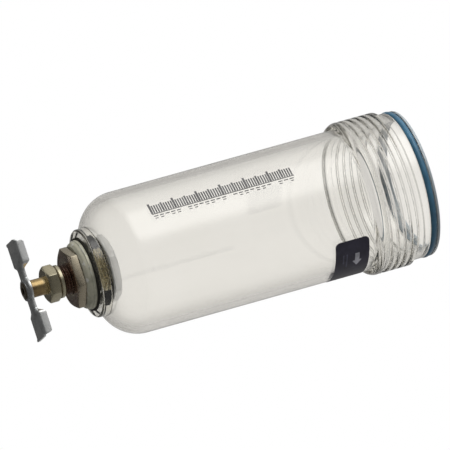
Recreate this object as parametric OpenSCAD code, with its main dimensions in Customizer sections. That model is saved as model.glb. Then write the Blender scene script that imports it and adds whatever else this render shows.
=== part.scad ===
// Compressed air filter bowl with a manual drain cock.
// Origin: centre of the bowl's open mouth. +Z points out of the mouth,
// towards the filter head. Everything hangs below, at negative Z.

/* [Bowl] */
// Outside diameter of the bowl's tube
tube_d = 62.4; // [58:0.2:66]
// Wall thickness of the bowl
wall_t = 3.0; // [2.6:0.1:3.4]
// Height from the mouth down to the flat underside of the bowl
bowl_h = 148; // [120:1:200]
// Outside radius of the rounded corner at the closed end
dome_r = 16; // [12:0.5:20]
// Diameter of the thickened pad under the bowl
pad_d = 39; // [37:0.5:42]
// Height of the thickened pad below the underside
pad_h = 3.6; // [2:0.1:5]

/* [Mouth thread] */
// Outside diameter over the thread crests
thread_d = 67.8; // [67:0.1:70]
// Distance from one thread ridge to the next
thread_pitch = 3.2; // [2.5:0.1:3.2]
// Number of thread ridges
thread_turns = 5; // [3:1:5]
// Distance from the mouth to the first ridge
thread_start = 10.5; // [10:0.1:12]
// Radial height of a thread ridge above the plain lip
thread_depth = 1.7; // [1:0.1:1.8]
// Depth of the groove between two ridges
groove_depth = 0.9; // [0.6:0.1:1.0]
// Distance from the mouth to the middle of the shoulder bead
bead_pos = 26.2; // [26:0.1:30]
// Width of the shoulder bead along the axis
bead_w = 6.8; // [6:0.2:9]

/* [Mouth seal] */
// Thickness of the O-ring's section
oring_t = 3.0; // [2:0.1:3.1]
// Distance from the mouth to the middle of the O-ring groove
groove_pos = 2.8; // [2.8:0.1:4]

/* [Label] */
// Height of the label along the axis
label_h = 15.7; // [8:0.1:30]
// Distance from the mouth to the label's top edge
label_pos = 32.9; // [30.5:0.1:60]
// Angle where the label starts, from the front towards +X
label_from = 32; // [0:1:60]
// Angle that the label covers round the bowl
label_arc = 63; // [20:1:90]
// Thickness of the label
label_t = 0.15; // [0.1:0.05:0.3]

/* [Drain bushing] */
// Hex of the bushing, across its flats
bush_af = 23.8; // [22:0.1:26]
// Thickness of the bushing's hex
bush_hex_h = 4.0; // [3:0.1:6]
// Angle that the bushing's hex is tightened to, about the axis
bush_turn = -10; // [-30:1:30]
// Diameter of the bushing's threaded shank
bush_shank_d = 19.05; // [18:0.05:20]
// Diameter of the flange washer
flange_d = 30.5; // [29:0.1:33]
// Thickness of the flange washer
flange_h = 3.8; // [2:0.1:5]
// Diameter of the rubber gasket outside the bowl
gasket_d = 32.6; // [31:0.1:35]
// Thickness of the rubber gasket outside the bowl
gasket_h = 0.8; // [0.8:0.1:2]

/* [Lock nut] */
// Hex of the lock nut, across its flats
nut_af = 25.4; // [24:0.1:27]
// Thickness of the lock nut
nut_h = 3.4; // [3:0.1:6]
// Angle that the lock nut is tightened to, about the axis
nut_turn = 14; // [-30:1:30]
// Thickness of the steel washer under the lock nut
nut_washer_h = 0.7; // [0.5:0.1:1.2]
// Thickness of the sealing ring on the bowl's floor
inner_gasket_h = 0.8; // [0.5:0.1:1.5]

/* [Drain cock] */
// Hex of the cock's body, across its flats
cock_af = 14.3; // [13.8:0.1:16]
// Thickness of the cock's hex
cock_hex_h = 5.3; // [5:0.1:8]
// Angle that the cock's hex is tightened to, about the axis
cock_turn = 6; // [-30:1:30]
// Distance between the two hexes
neck_gap = 5.2; // [3:0.1:6]
// Diameter of the pipe thread at its large end
neck_d = 13.9; // [13.4:0.1:13.9]
// Diameter of the stem
stem_d = 7.7; // [7.5:0.1:8.2]
// Length of stem between the cock's hex and the handle
stem_show = 8.0; // [6:0.1:14]
// Diameter of the drain passage through the stem
drain_d = 3.0; // [2:0.1:3.2]

/* [Handle] */
// Length of the handle from end to end
handle_l = 44.2; // [40:0.2:52]
// Width of each wing
wing_w = 12.8; // [11:0.2:15]
// Length of each wing
wing_l = 11.5; // [9:0.1:13]
// Depth of the side flanges of the wings
wing_depth = 4.4; // [3:0.1:5]
// Width of the neck between the eye and a wing
handle_neck_w = 5.4; // [5:0.1:7]
// Diameter of the eye round the stem
eye_d = 11; // [10.5:0.1:13]
// Thickness of the handle's sheet steel
sheet_t = 1.2; // [1:0.1:1.5]
// Angle of the handle about the axis, drain closed
handle_angle = -8.6; // [-90:0.1:90]

/* [Hidden] */
$fn = 96;
e = 0.02;                       // gap between pieces that are fitted together
run = 0.05;                     // radial running clearance of the stem

tube_r = tube_d / 2;
in_r = tube_r - wall_t;
thr_r = thread_d / 2;
root_r = thr_r - thread_depth;  // radius of the plain lip
seal_r = tube_r - 1.7;          // bottom of the O-ring groove
floor_z = -bowl_h;
dome_z = floor_z + dome_r;      // height of the centre of the rounded corner
in_floor_z = floor_z + wall_t;
pad_z = floor_z - pad_h;

// stack outside the bowl, downwards
gasket_z = pad_z - gasket_h;
flange_z = gasket_z - flange_h;
bush_z = flange_z - bush_hex_h;
cock_top = bush_z - neck_gap;
cock_z = cock_top - cock_hex_h;
web_z = cock_z - stem_show;     // inner face of the handle's web
out_z = web_z - sheet_t;        // outer face of the handle's web

// stack inside the bowl, upwards
washer_z = in_floor_z + inner_gasket_h;
nut_z = washer_z + nut_washer_h;
nut_top = nut_z + nut_h;
bush_top = nut_top + 0.5;

// drain cock, inside
shank_r = bush_shank_d / 2;
stem_r = stem_d / 2;
bore_r = stem_r + run;
neck_top = bush_z + 10.4;       // inner end of the pipe thread
neck_taper = 1 / 32;            // radius lost per millimetre of pipe thread
neck_r0 = neck_d / 2;
neck_r1 = neck_r0 - (neck_top - cock_top) * neck_taper;
seat_z = neck_top - 3.0;        // face that the seat disc closes on
room_r = 4.9;                   // radius of the valve chamber
room_z = seat_z - 8.4;          // lower end of the valve chamber
inlet_r = 2.2;
disc_h = 1.6;
disc_r = 3.6;
disc_z = seat_z - e - disc_h;
collar_z = room_z + 1.9;        // underside of the stem's collar
cross_z = disc_z - 3.8;         // height of the cross hole
ring_z = cock_z + 2.6;          // middle of the stem's O-ring
stem_groove_r = 2.9;

module tube2(r0, r1, z0, z1) { translate([r0, z0]) square([r1 - r0, z1 - z0]); }
module ring(r0, r1, z0, z1) { rotate_extrude() tube2(r0, r1, z0, z1); }
module hex2(af) { circle(d = af / cos(30), $fn = 6); }

// hexagon with its corners turned off at the ends that are asked for
module hex_prism(af, z0, z1, low = true, high = true) {
    c = af / 2 / cos(30);
    s = (c - af / 2) + 0.25;
    k = s * 0.58;
    intersection() {
        translate([0, 0, z0]) linear_extrude(z1 - z0) hex2(af);
        rotate_extrude() polygon([[0, z0],
            [low ? c - s : c + 1, z0], [low ? c + 0.01 : c + 1, low ? z0 + k : z0],
            [high ? c + 0.01 : c + 1, high ? z1 - k : z1], [high ? c - s : c + 1, z1], [0, z1]]);
    }
}

// One turn of the thread in section, from its upper root to its lower root
function turn2(r, depth, pitch, z) = [[r - depth, z + pitch * 0.48], [r, z + pitch * 0.30],
    [r, z - pitch * 0.30], [r - depth, z - pitch * 0.48]];

module bowl() {
    bead_h = thr_r - tube_r;
    bead_c = (pow(bead_w / 2, 2) + pow(bead_h, 2)) / (2 * bead_h);
    thr_z0 = -thread_start + thread_pitch / 2;
    thr_z1 = -thread_start - (thread_turns - 0.5) * thread_pitch;
    hole_r = shank_r + 0.15;
    color([0.86, 0.89, 0.90, 0.45]) union() {
        rotate_extrude($fn = 180) difference() {
            union() {
                tube2(0, tube_r, dome_z, -bead_pos);
                tube2(0, root_r, -bead_pos, -0.6);
                polygon([[0, -0.6], [root_r, -0.6], [root_r - 0.6, 0], [0, 0]]);
                tube2(0, tube_r - dome_r, floor_z, dome_z);
                translate([tube_r - dome_r, dome_z]) circle(r = dome_r);
                translate([0, -bead_pos]) intersection() {
                    translate([thr_r - bead_c, 0]) circle(r = bead_c);
                    tube2(in_r, thr_r + 1, -bead_w, bead_w);
                }
                // thickened pad with a rounded edge
                tube2(0, pad_d / 2 - 1, pad_z, floor_z + 2);
                tube2(0, pad_d / 2, pad_z + 1, floor_z + 2);
                translate([pad_d / 2 - 1, pad_z + 1]) circle(r = 1);
            }
            tube2(-80, in_r, dome_z, 1);
            tube2(-80, tube_r - dome_r, in_floor_z, dome_z);
            translate([tube_r - dome_r, dome_z]) circle(r = dome_r - wall_t);
            tube2(-80, hole_r, pad_z - 1, dome_z);
            tube2(-80, 0, pad_z - 1, 1);
            // O-ring groove
            tube2(seal_r, root_r + 1, -groove_pos - oring_t / 2 - 0.1, -groove_pos + oring_t / 2 + 0.1);
        }
        // thread: roots and ridges in one outline
        rotate_extrude($fn = 180)
            polygon(concat([[in_r + 0.5, thr_z0 + 0.75], [root_r - 0.2, thr_z0 + 0.75], [thr_r - groove_depth, thr_z0]],
                [for (i = [0:thread_turns - 1]) for (p = turn2(thr_r, groove_depth, thread_pitch,
                    -thread_start - i * thread_pitch)) p],
                [[thr_r - groove_depth, thr_z1 - 0.2], [in_r + 0.5, thr_z1 - 0.2]]));
    }
}

module bowl_o_ring() {
    color([0.05, 0.28, 0.45]) rotate_extrude($fn = 180)
        translate([seal_r + e + oring_t / 2, -groove_pos]) circle(d = oring_t);
}

module arrow_label() {
    r = tube_r + e;
    color([0.10, 0.10, 0.20]) intersection() {
        ring(r, r + label_t, -label_pos - label_h, -label_pos);
        translate([0, 0, -label_pos - label_h - 1]) linear_extrude(label_h + 2)
            rotate(-90 + label_from) polygon(concat([[0, 0]],
                [for (a = [0:4]) [60 * cos(a * label_arc / 4), 60 * sin(a * label_arc / 4)]]));
    }
}

module outer_gasket() {
    color([0.10, 0.10, 0.09]) ring(shank_r + 0.1, gasket_d / 2, gasket_z, pad_z);
}

module flange_washer() {
    r = flange_d / 2;
    color([0.62, 0.60, 0.50]) rotate_extrude() polygon([
        [shank_r + 0.1, flange_z], [bush_af / 2 + 1.6, flange_z], [r - 0.4, flange_z + flange_h * 0.55],
        [r, flange_z + flange_h * 0.62], [r, gasket_z - 0.3], [r - 0.3, gasket_z], [shank_r + 0.1, gasket_z]]);
}

module drain_bushing() {
    color([0.71, 0.58, 0.36]) difference() {
        union() {
            rotate(bush_turn) hex_prism(bush_af, bush_z, flange_z, true, false);
            ring(0, shank_r - 0.5, flange_z - 0.5, bush_top);
            ring(0, shank_r, flange_z, in_floor_z);
            // threaded end of the shank
            for (i = [0:2])
                rotate_extrude() translate([0, in_floor_z + 0.8 + i * 1.6])
                    polygon([[shank_r - 1, -0.8], [shank_r - 0.5, -0.8], [shank_r, -0.2],
                        [shank_r, 0.2], [shank_r - 0.5, 0.8], [shank_r - 1, 0.8]]);
        }
        // tapered pipe thread for the cock
        rotate_extrude() polygon([[0, bush_z - 1],
            [neck_r0 - (bush_z - 1 - cock_top) * neck_taper + e, bush_z - 1],
            [neck_r1 - 0.6 * neck_taper + e, neck_top + 0.6], [0, neck_top + 0.6]]);
        // passage on into the bowl
        translate([0, 0, neck_top]) cylinder(r = 5, h = bush_top - neck_top + 1);
        // mouth of the pipe thread
        translate([0, 0, bush_z - 0.01]) cylinder(r1 = neck_r0 + 0.7, r2 = neck_r0 - 0.3, h = 1);
    }
}

module inner_gasket() {
    color([0.45, 0.25, 0.15]) ring(shank_r + 0.1, nut_af / 2 + 1.2, in_floor_z + e, washer_z);
}

module lock_washer() {
    color([0.66, 0.67, 0.68]) ring(shank_r + 0.1, nut_af / 2 + 0.9, washer_z + e, nut_z);
}

module lock_nut() {
    color([0.68, 0.66, 0.58]) difference() {
        rotate(nut_turn) hex_prism(nut_af, nut_z + e, nut_top, false, true);
        translate([0, 0, nut_z - 1]) cylinder(r = shank_r + e, h = nut_h + 2);
    }
}

module cock_body() {
    color([0.70, 0.60, 0.40]) difference() {
        union() {
            rotate(cock_turn) hex_prism(cock_af, cock_z, cock_top);
            rotate_extrude() polygon([[0, cock_top - 0.5], [neck_r0, cock_top - 0.5], [neck_r0, cock_top],
                [neck_r1, neck_top - 0.5], [neck_r1 - 0.5, neck_top], [0, neck_top]]);
            // plain collar between the hex and the pipe thread
            rotate_extrude() polygon([[0, cock_top - 0.5], [neck_r0 + 0.3, cock_top - 0.5],
                [neck_r0 + 0.3, cock_top + 1.6], [neck_r0, cock_top + 1.9], [0, cock_top + 1.9]]);
        }
        translate([0, 0, room_z]) cylinder(r = room_r, h = neck_top - room_z + 1);
        translate([0, 0, cock_z - 1]) cylinder(r = bore_r, h = room_z - cock_z + 2);
    }
}

module valve_seat() {
    color([0.74, 0.62, 0.38]) rotate_extrude() polygon([[inlet_r, seat_z], [inlet_r + 0.5, seat_z],
        [inlet_r + 0.8, seat_z + 0.3], [room_r - e, seat_z + 0.3], [room_r - e, neck_top - 0.3],
        [inlet_r + 0.6, neck_top - 0.3], [inlet_r, neck_top - 0.9]]);
}

module seat_disc() {
    color([0.93, 0.92, 0.88]) ring(1.0, disc_r, disc_z, seat_z - e);
}

// screw that holds the seat disc on the stem's nose
module seat_screw() {
    color([0.70, 0.70, 0.70]) difference() {
        union() {
            translate([0, 0, disc_z - 2.2]) cylinder(r = 0.93, h = 2.2 + disc_h + 0.1);
            translate([0, 0, seat_z + e]) cylinder(r = 1.7, h = 0.9);
        }
        translate([-2, -0.25, seat_z + 0.55]) cube([4, 0.5, 1]);
    }
}

module stem() {
    color([0.78, 0.62, 0.34]) difference() {
        union() {
            // nose that carries the seat disc
            translate([0, 0, collar_z]) cylinder(r = 3.2, h = disc_z - e - collar_z);
            // collar that stops the stem coming out
            translate([0, 0, collar_z]) cylinder(r = 4.6, h = 1.0);
            // threaded and smooth length
            translate([0, 0, web_z]) cylinder(r = stem_r, h = collar_z - web_z + 0.5);
            // end that the handle fits on, spread into a rivet head over the washer
            translate([0, 0, out_z - 0.9]) cylinder(r = 2.9, h = web_z - out_z + 1);
            translate([0, 0, out_z - 0.9]) cylinder(r = 3.6, h = 0.48);
        }
        // drain passage and its cross hole
        translate([0, 0, out_z - 1]) cylinder(r = drain_d / 2, h = cross_z + 0.6 - out_z + 1);
        translate([0, 0, cross_z]) rotate([0, 90, 0]) cylinder(r = 0.8, h = 12, center = true);
        // hole for the seat screw
        translate([0, 0, disc_z - 2.4]) cylinder(r = 0.95, h = 3);
        // O-ring and backup ring groove
        ring(stem_groove_r, stem_r + 1, ring_z - 1.25, ring_z + 0.65);
        // thread roots
        for (i = [0:3])
            rotate_extrude() translate([0, room_z - 0.9 - i * 1.06])
                polygon([[stem_r + 0.3, -0.53], [stem_r - 0.45, -0.1], [stem_r - 0.45, 0.1], [stem_r + 0.3, 0.53]]);
    }
}

module stem_thrust_ring() {
    color([0.90, 0.88, 0.80]) ring(bore_r + e, 4.6, collar_z - 0.42, collar_z - e);
}

module stem_o_ring() {
    color([0.08, 0.08, 0.08]) rotate_extrude()
        translate([stem_groove_r + e + (bore_r - stem_groove_r - 2 * e) / 2, ring_z])
            circle(d = bore_r - stem_groove_r - 2 * e);
}

module stem_backup_ring() {
    color([0.93, 0.92, 0.88]) ring(stem_groove_r + e, bore_r - e, ring_z - 1.2, ring_z - 0.55);
}

module handle2(inset) {
    w = wing_w / 2 - inset;
    n = handle_neck_w / 2 - inset;
    r = handle_l / 2;
    x0 = r - wing_l;
    m = 1.2 - inset * 0.4;
    circle(r = eye_d / 2 - inset);
    translate([-r + 4, -n]) square([2 * r - 8, 2 * n]);
    for (s = [0, 180]) rotate(s) polygon([[x0 - 1.6 + inset, 0], [x0 - 1.6 + inset, -n], [x0 + inset, -w],
        [r - m, -w], [r, -w + m], [r, w - m], [r - m, w], [x0 + inset, w], [x0 - 1.6 + inset, n]]);
}

module t_handle() {
    r = handle_l / 2;
    x0 = r - wing_l;
    color([0.55, 0.57, 0.58]) rotate(handle_angle) difference() {
        union() {
            translate([0, 0, out_z]) linear_extrude(sheet_t) handle2(0);
            // shallow flange along the eye and the necks
            difference() {
                translate([0, 0, out_z]) linear_extrude(2.2) intersection() {
                    handle2(0);
                    square([2 * x0, 40], center = true);
                }
                translate([0, 0, web_z]) linear_extrude(3) handle2(sheet_t);
            }
            // deep side flanges of the wings
            for (s = [0, 180], t = [-1, 1])
                rotate(s) translate([0, t * (wing_w / 2 - sheet_t / 2), 0])
                    rotate([90, 0, 0]) translate([0, 0, -sheet_t / 2]) linear_extrude(sheet_t)
                        polygon([[x0, out_z], [x0, web_z + 0.6], [x0 + 1.6, out_z + wing_depth],
                            [r - 1.7, out_z + wing_depth], [r - 1.1, out_z + wing_depth - 0.6], [r - 1.2, out_z]]);
        }
        translate([0, 0, out_z - 1]) cylinder(r = 2.95, h = sheet_t + 2);
    }
}

module handle_washer() {
    color([0.60, 0.61, 0.62]) rotate_extrude() polygon([[2.95, out_z - 0.4], [4.3, out_z - 0.4],
        [4.6, out_z - 0.15], [4.6, out_z - e], [2.95, out_z - e]]);
}

bowl();
bowl_o_ring();
arrow_label();
outer_gasket();
flange_washer();
drain_bushing();
inner_gasket();
lock_washer();
lock_nut();
cock_body();
valve_seat();
seat_disc();
seat_screw();
stem();
stem_thrust_ring();
stem_o_ring();
stem_backup_ring();
t_handle();
handle_washer();
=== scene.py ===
import math

import bmesh
import bpy
import numpy as np
from mathutils import Matrix, Vector


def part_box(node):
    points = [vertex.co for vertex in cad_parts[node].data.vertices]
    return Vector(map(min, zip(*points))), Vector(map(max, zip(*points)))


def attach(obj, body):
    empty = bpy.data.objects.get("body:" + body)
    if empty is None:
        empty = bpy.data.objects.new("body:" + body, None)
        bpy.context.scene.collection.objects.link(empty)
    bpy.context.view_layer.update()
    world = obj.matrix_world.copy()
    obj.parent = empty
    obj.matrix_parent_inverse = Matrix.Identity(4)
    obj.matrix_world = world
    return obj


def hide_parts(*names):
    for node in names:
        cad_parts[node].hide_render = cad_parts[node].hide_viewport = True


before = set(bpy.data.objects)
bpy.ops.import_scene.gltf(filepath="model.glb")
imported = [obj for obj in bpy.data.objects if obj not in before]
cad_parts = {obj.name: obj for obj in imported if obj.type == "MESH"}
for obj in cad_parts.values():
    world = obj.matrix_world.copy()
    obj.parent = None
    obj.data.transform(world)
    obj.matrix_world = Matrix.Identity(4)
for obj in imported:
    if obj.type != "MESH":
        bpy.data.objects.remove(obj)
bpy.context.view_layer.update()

scene = bpy.context.scene
MM = 0.001
TAU = 2 * math.pi


# ---------------------------------------------------------------- places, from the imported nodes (mm)
def low(node, axis=2):
    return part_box(node)[0][axis] / MM


def high(node, axis=2):
    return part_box(node)[1][axis] / MM


TUBE_R, IN_R, ROOT_R, THR_R = 31.2, 28.2, 32.2, high("bowl", 0)
FLOOR_Z = -148.0
DOME_R, WALL = 16.0, TUBE_R - IN_R
DOME_Z = FLOOR_Z + DOME_R
PAD_R, PAD_Z = 19.5, low("bowl")
SHANK_R = 9.525
SEAL_T = high("bowl_o_ring") - low("bowl_o_ring")
GROOVE_R, GROOVE_Z = high("bowl_o_ring", 0) - SEAL_T - 0.02, (high("bowl_o_ring") + low("bowl_o_ring")) / 2
PITCH, THR_TOP, THR_N = 3.2, -8.9, 5
THR_ROOT = THR_R - 0.9
BEAD_Z, BEAD_W = -26.2, 6.8


# ---------------------------------------------------------------- camera
def camera():
    tilt, roll = math.radians(17.0), math.radians(15.6)
    back = Vector((0, -math.cos(tilt), -math.sin(tilt)))  # from the object to the camera
    along = Vector((0, -math.sin(tilt), math.cos(tilt)))  # the bowl's axis as the camera sees it
    up0 = Vector((-1, 0, 0))
    right = math.cos(roll) * along - math.sin(roll) * up0
    up = math.sin(roll) * along + math.cos(roll) * up0
    px_mm = 2.33
    distance = 8.0
    middle = Vector((0, 0, -90.5 * MM))
    target = middle + right * (7.6 / px_mm * MM) + up * (12.2 / px_mm * MM)
    cam = bpy.data.objects.new("camera", bpy.data.cameras.new("camera"))
    scene.collection.objects.link(cam)
    m = Matrix.Identity(4)
    for i, v in enumerate((right, up, back)):
        m.col[i][:3] = v
    m.translation = target + back * distance
    cam.matrix_world = m
    cam.data.sensor_width = 36
    cam.data.lens = 36 * distance / (450 / px_mm * MM)
    cam.data.clip_start, cam.data.clip_end = 0.05, 200
    scene.camera = cam
    return right, up, back


RIGHT, UP, BACK = camera()


# ---------------------------------------------------------------- mesh helpers
def finish_mesh(name, verts, faces, mat, body, nodes=(), sharp=32.0, scale=MM, clean=True):
    mesh = bpy.data.meshes.new(name)
    mesh.from_pydata([tuple(v) for v in np.asarray(verts, float) * scale], [], faces)
    bm = bmesh.new()
    bm.from_mesh(mesh)
    if clean:
        bmesh.ops.remove_doubles(bm, verts=bm.verts, dist=1e-6)
        bmesh.ops.dissolve_degenerate(bm, edges=bm.edges, dist=1e-7)
    bmesh.ops.recalc_face_normals(bm, faces=bm.faces)
    bm.to_mesh(mesh)
    bm.free()
    mesh.shade_smooth()
    mesh.set_sharp_from_angle(angle=math.radians(sharp))
    ob = bpy.data.objects.new(name, mesh)
    scene.collection.objects.link(ob)
    mesh.materials.append(mat)
    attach(ob, body)
    if nodes:
        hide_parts(*nodes)
    return ob


def stitch(rings, loop=False):
    """Faces between rings of points. A ring of one point is a pole."""
    verts, faces, start = [], [], []
    for r in rings:
        start.append(len(verts))
        verts.extend(np.asarray(r, float).tolist())
    pairs = list(zip(range(len(rings) - 1), range(1, len(rings))))
    if loop:
        pairs.append((len(rings) - 1, 0))
    for a, b in pairs:
        na, nb, sa, sb = len(rings[a]), len(rings[b]), start[a], start[b]
        n = max(na, nb)
        for i in range(n):
            j = (i + 1) % n
            if na == 1:
                faces.append((sa, sb + i, sb + j))
            elif nb == 1:
                faces.append((sa + i, sb, sa + j))
            else:
                faces.append((sa + i, sb + i, sb + j, sa + j))
    return verts, faces


def circle_ring(r, z, angles):
    if r < 1e-6:
        return np.array([[0.0, 0.0, z]])
    return np.stack([r * np.cos(angles), r * np.sin(angles), np.full(len(angles), z)], 1)


def fillet(points, radius, n=4):
    """A closed outline with its corners rounded. radius is one number or one for each corner."""
    pts = [np.array(p, float) for p in points]
    rads = [radius] * len(pts) if isinstance(radius, (int, float)) else list(radius)
    out = []
    for i, p in enumerate(pts):
        a, b = pts[i - 1], pts[(i + 1) % len(pts)]
        u, v = a - p, b - p
        lu, lv = np.linalg.norm(u), np.linalg.norm(v)
        if rads[i] <= 0 or lu < 1e-9 or lv < 1e-9:
            out.append(p)
            continue
        u, v = u / lu, v / lv
        cosang = float(np.clip(np.dot(u, v), -1, 1))
        half = math.acos(cosang) / 2
        if half > math.pi / 2 - 0.02:
            out.append(p)
            continue
        d = min(rads[i] / math.tan(half), 0.48 * lu, 0.48 * lv)
        r = d * math.tan(half)
        mid = (u + v) / np.linalg.norm(u + v)
        c = p + mid * (r / math.sin(half))
        s, e = p + u * d - c, p + v * d - c
        a0, a1 = math.atan2(s[1], s[0]), math.atan2(e[1], e[0])
        da = (a1 - a0 + math.pi) % TAU - math.pi
        for k in range(n + 1):
            t = a0 + da * k / n
            out.append(c + r * np.array([math.cos(t), math.sin(t)]))
    return out


def lathe(name, outline, radius, mat, body, nodes=(), seg=128, n=4, sharp=32.0):
    angles = np.arange(seg) * TAU / seg
    rings = [circle_ring(p[0], p[1], angles) for p in fillet(outline, radius, n)]
    v, f = stitch(rings, loop=True)
    return finish_mesh(name, v, f, mat, body, nodes, sharp)


def hex_outline(af, corner, turn=0.0, flat=9, arc=5, crown=0.0):
    """A hexagon with rounded corners, as points in order. A corner lies at the angle turn, in degrees."""
    a, pts = af / 2, []
    for k in range(6):
        phi = math.radians(turn + 60 * k)
        c = (a - corner) / math.cos(math.pi / 6) * np.array([math.cos(phi), math.sin(phi)])
        for t in np.linspace(-math.pi / 6, math.pi / 6, arc):
            pts.append(c + corner * np.array([math.cos(phi + t), math.sin(phi + t)]))
        nxt = math.radians(turn + 60 * (k + 1))
        d = (a - corner) / math.cos(math.pi / 6) * np.array([math.cos(nxt), math.sin(nxt)])
        q = d + corner * np.array([math.cos(nxt - math.pi / 6), math.sin(nxt - math.pi / 6)])
        p = pts[-1]
        out = np.array([math.cos(phi + math.pi / 6), math.sin(phi + math.pi / 6)])
        for s in range(1, flat + 1):
            t = s / (flat + 1)
            pts.append(p + (q - p) * t + out * crown * 4 * t * (1 - t))
    return np.array(pts)


def hex_rings(af, turn, z0, z1, low_cut=True, high_cut=True, corner=0.35, edge=0.09, slope=0.5774, crown=0.0):
    """Rings of a hexagonal prism from z0 to z1, with its corners turned off by a cone, and that cone's angles."""
    pts = hex_outline(af, corner, turn, crown=crown)
    rho, ang = np.hypot(pts[:, 0], pts[:, 1]), np.arctan2(pts[:, 1], pts[:, 0])
    rf = af / 2 - 0.28

    def at(r, z):
        r, z = np.broadcast_to(r, rho.shape), np.broadcast_to(z, rho.shape)
        return np.stack([r * np.cos(ang), r * np.sin(ang), z], 1)

    rings = []
    if low_cut:
        rings += [at(rf - 0.12, z0), at(rf, z0 + 0.03), at(rho - edge, z0 + 0.03 + (rho - edge - rf) * slope),
                  at(rho - edge * 0.3, z0 + 0.03 + (rho - rf) * slope + edge * 0.15),
                  at(rho, z0 + 0.03 + (rho - rf) * slope + edge)]
    else:
        rings += [at(rho - edge, z0), at(rho, z0 + edge)]
    if high_cut:
        rings += [at(rho, z1 - 0.03 - (rho - rf) * slope - edge),
                  at(rho - edge * 0.3, z1 - 0.03 - (rho - rf) * slope - edge * 0.15),
                  at(rho - edge, z1 - 0.03 - (rho - edge - rf) * slope), at(rf, z1 - 0.03), at(rf - 0.12, z1)]
    else:
        rings += [at(rho, z1 - edge), at(rho - edge, z1)]
    return rings, ang


def smooth(x, a, b):
    t = np.clip((np.asarray(x, float) - a) / (b - a), 0, 1)
    return t * t * (3 - 2 * t)


def thread_height(z, ang, top, pitch, turns, crest=0.13, flank=0.31, lead=0.18, tail=0.0):
    """Share of full height, 0 to 1, of a right-handed thread at height z and angles ang. The thread starts at top."""
    share = (ang % TAU) / TAU
    k = np.clip(np.round((top - z) / pitch - 1 + share), 0, turns - 1)
    crest_z = top - pitch * (k + 1 - share)
    d = np.abs(z - crest_z) / pitch
    h = np.clip(1 - (d - crest) / flank, 0, 1)
    h = h * h * (3 - 2 * h) * 0.35 + h * 0.65
    along = k + 1 - share
    h = h * smooth(along, 0.0, lead)
    if tail:
        h = h * (1 - smooth(along, turns - tail, turns))
    return h


# ---------------------------------------------------------------- node helpers
def new_material(name):
    m = bpy.data.materials.new(name)
    m.use_nodes = True
    nt = m.node_tree
    nt.nodes.clear()
    out = nt.nodes.new("ShaderNodeOutputMaterial")
    return m, nt, out


def node(nt, kind, **inputs):
    n = nt.nodes.new(kind)
    for k, v in inputs.items():
        key = k.replace("_", " ")
        n.inputs[key].default_value = v
    return n


def coords(nt, scale=(1, 1, 1)):
    tc = nt.nodes.new("ShaderNodeTexCoord")
    mp = nt.nodes.new("ShaderNodeMapping")
    mp.inputs["Scale"].default_value = scale
    nt.links.new(tc.outputs["Object"], mp.inputs["Vector"])
    return mp.outputs["Vector"]


def noise(nt, vec, scale, detail=4.0, rough=0.55, distort=0.0):
    n = node(nt, "ShaderNodeTexNoise", Scale=scale, Detail=detail, Roughness=rough, Distortion=distort)
    nt.links.new(vec, n.inputs["Vector"])
    return n.outputs["Fac"]


def ramp(nt, fac, stops):
    r = nt.nodes.new("ShaderNodeValToRGB")
    el = r.color_ramp.elements
    while len(el) < len(stops):
        el.new(0.5)
    for e, (pos, col) in zip(el, stops):
        e.position = pos
        e.color = (*col, 1) if len(col) == 3 else col
    nt.links.new(fac, r.inputs["Fac"])
    return r.outputs["Color"]


def remap(nt, fac, lo, hi, a=0.0, b=1.0):
    m = nt.nodes.new("ShaderNodeMapRange")
    for k, v in (("From Min", a), ("From Max", b), ("To Min", lo), ("To Max", hi)):
        m.inputs[k].default_value = v
    nt.links.new(fac, m.inputs["Value"])
    return m.outputs["Result"]


def maths(nt, op, a, b=None, clamp=False):
    m = nt.nodes.new("ShaderNodeMath")
    m.operation = op
    m.use_clamp = clamp
    for i, x in enumerate((a, b)):
        if x is None:
            continue
        if isinstance(x, (int, float)):
            m.inputs[i].default_value = x
        else:
            nt.links.new(x, m.inputs[i])
    return m.outputs[0]


def mix_colour(nt, fac, a, b, mode="MIX"):
    m = nt.nodes.new("ShaderNodeMix")
    m.data_type = "RGBA"
    m.blend_type = mode
    for sock, x in ((m.inputs[0], fac), (m.inputs[6], a), (m.inputs[7], b)):
        if isinstance(x, (int, float)):
            sock.default_value = x
        elif isinstance(x, tuple):
            sock.default_value = (*x, 1)
        else:
            nt.links.new(x, sock)
    return m.outputs[2]


def bump(nt, height, strength, distance, normal=None):
    b = node(nt, "ShaderNodeBump", Strength=strength, Distance=distance)
    nt.links.new(height, b.inputs["Height"])
    if normal is not None:
        nt.links.new(normal, b.inputs["Normal"])
    return b.outputs["Normal"]


def wear_and_hollow_shade_mask(nt, sharpness=12.0):
    """0 in hollows, about 0.5 on flats, 1 on outside edges."""
    g = nt.nodes.new("ShaderNodeNewGeometry")
    return maths(nt, "ADD", maths(nt, "MULTIPLY", maths(nt, "SUBTRACT", g.outputs["Pointiness"], 0.5), sharpness), 0.5, clamp=True)


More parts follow.
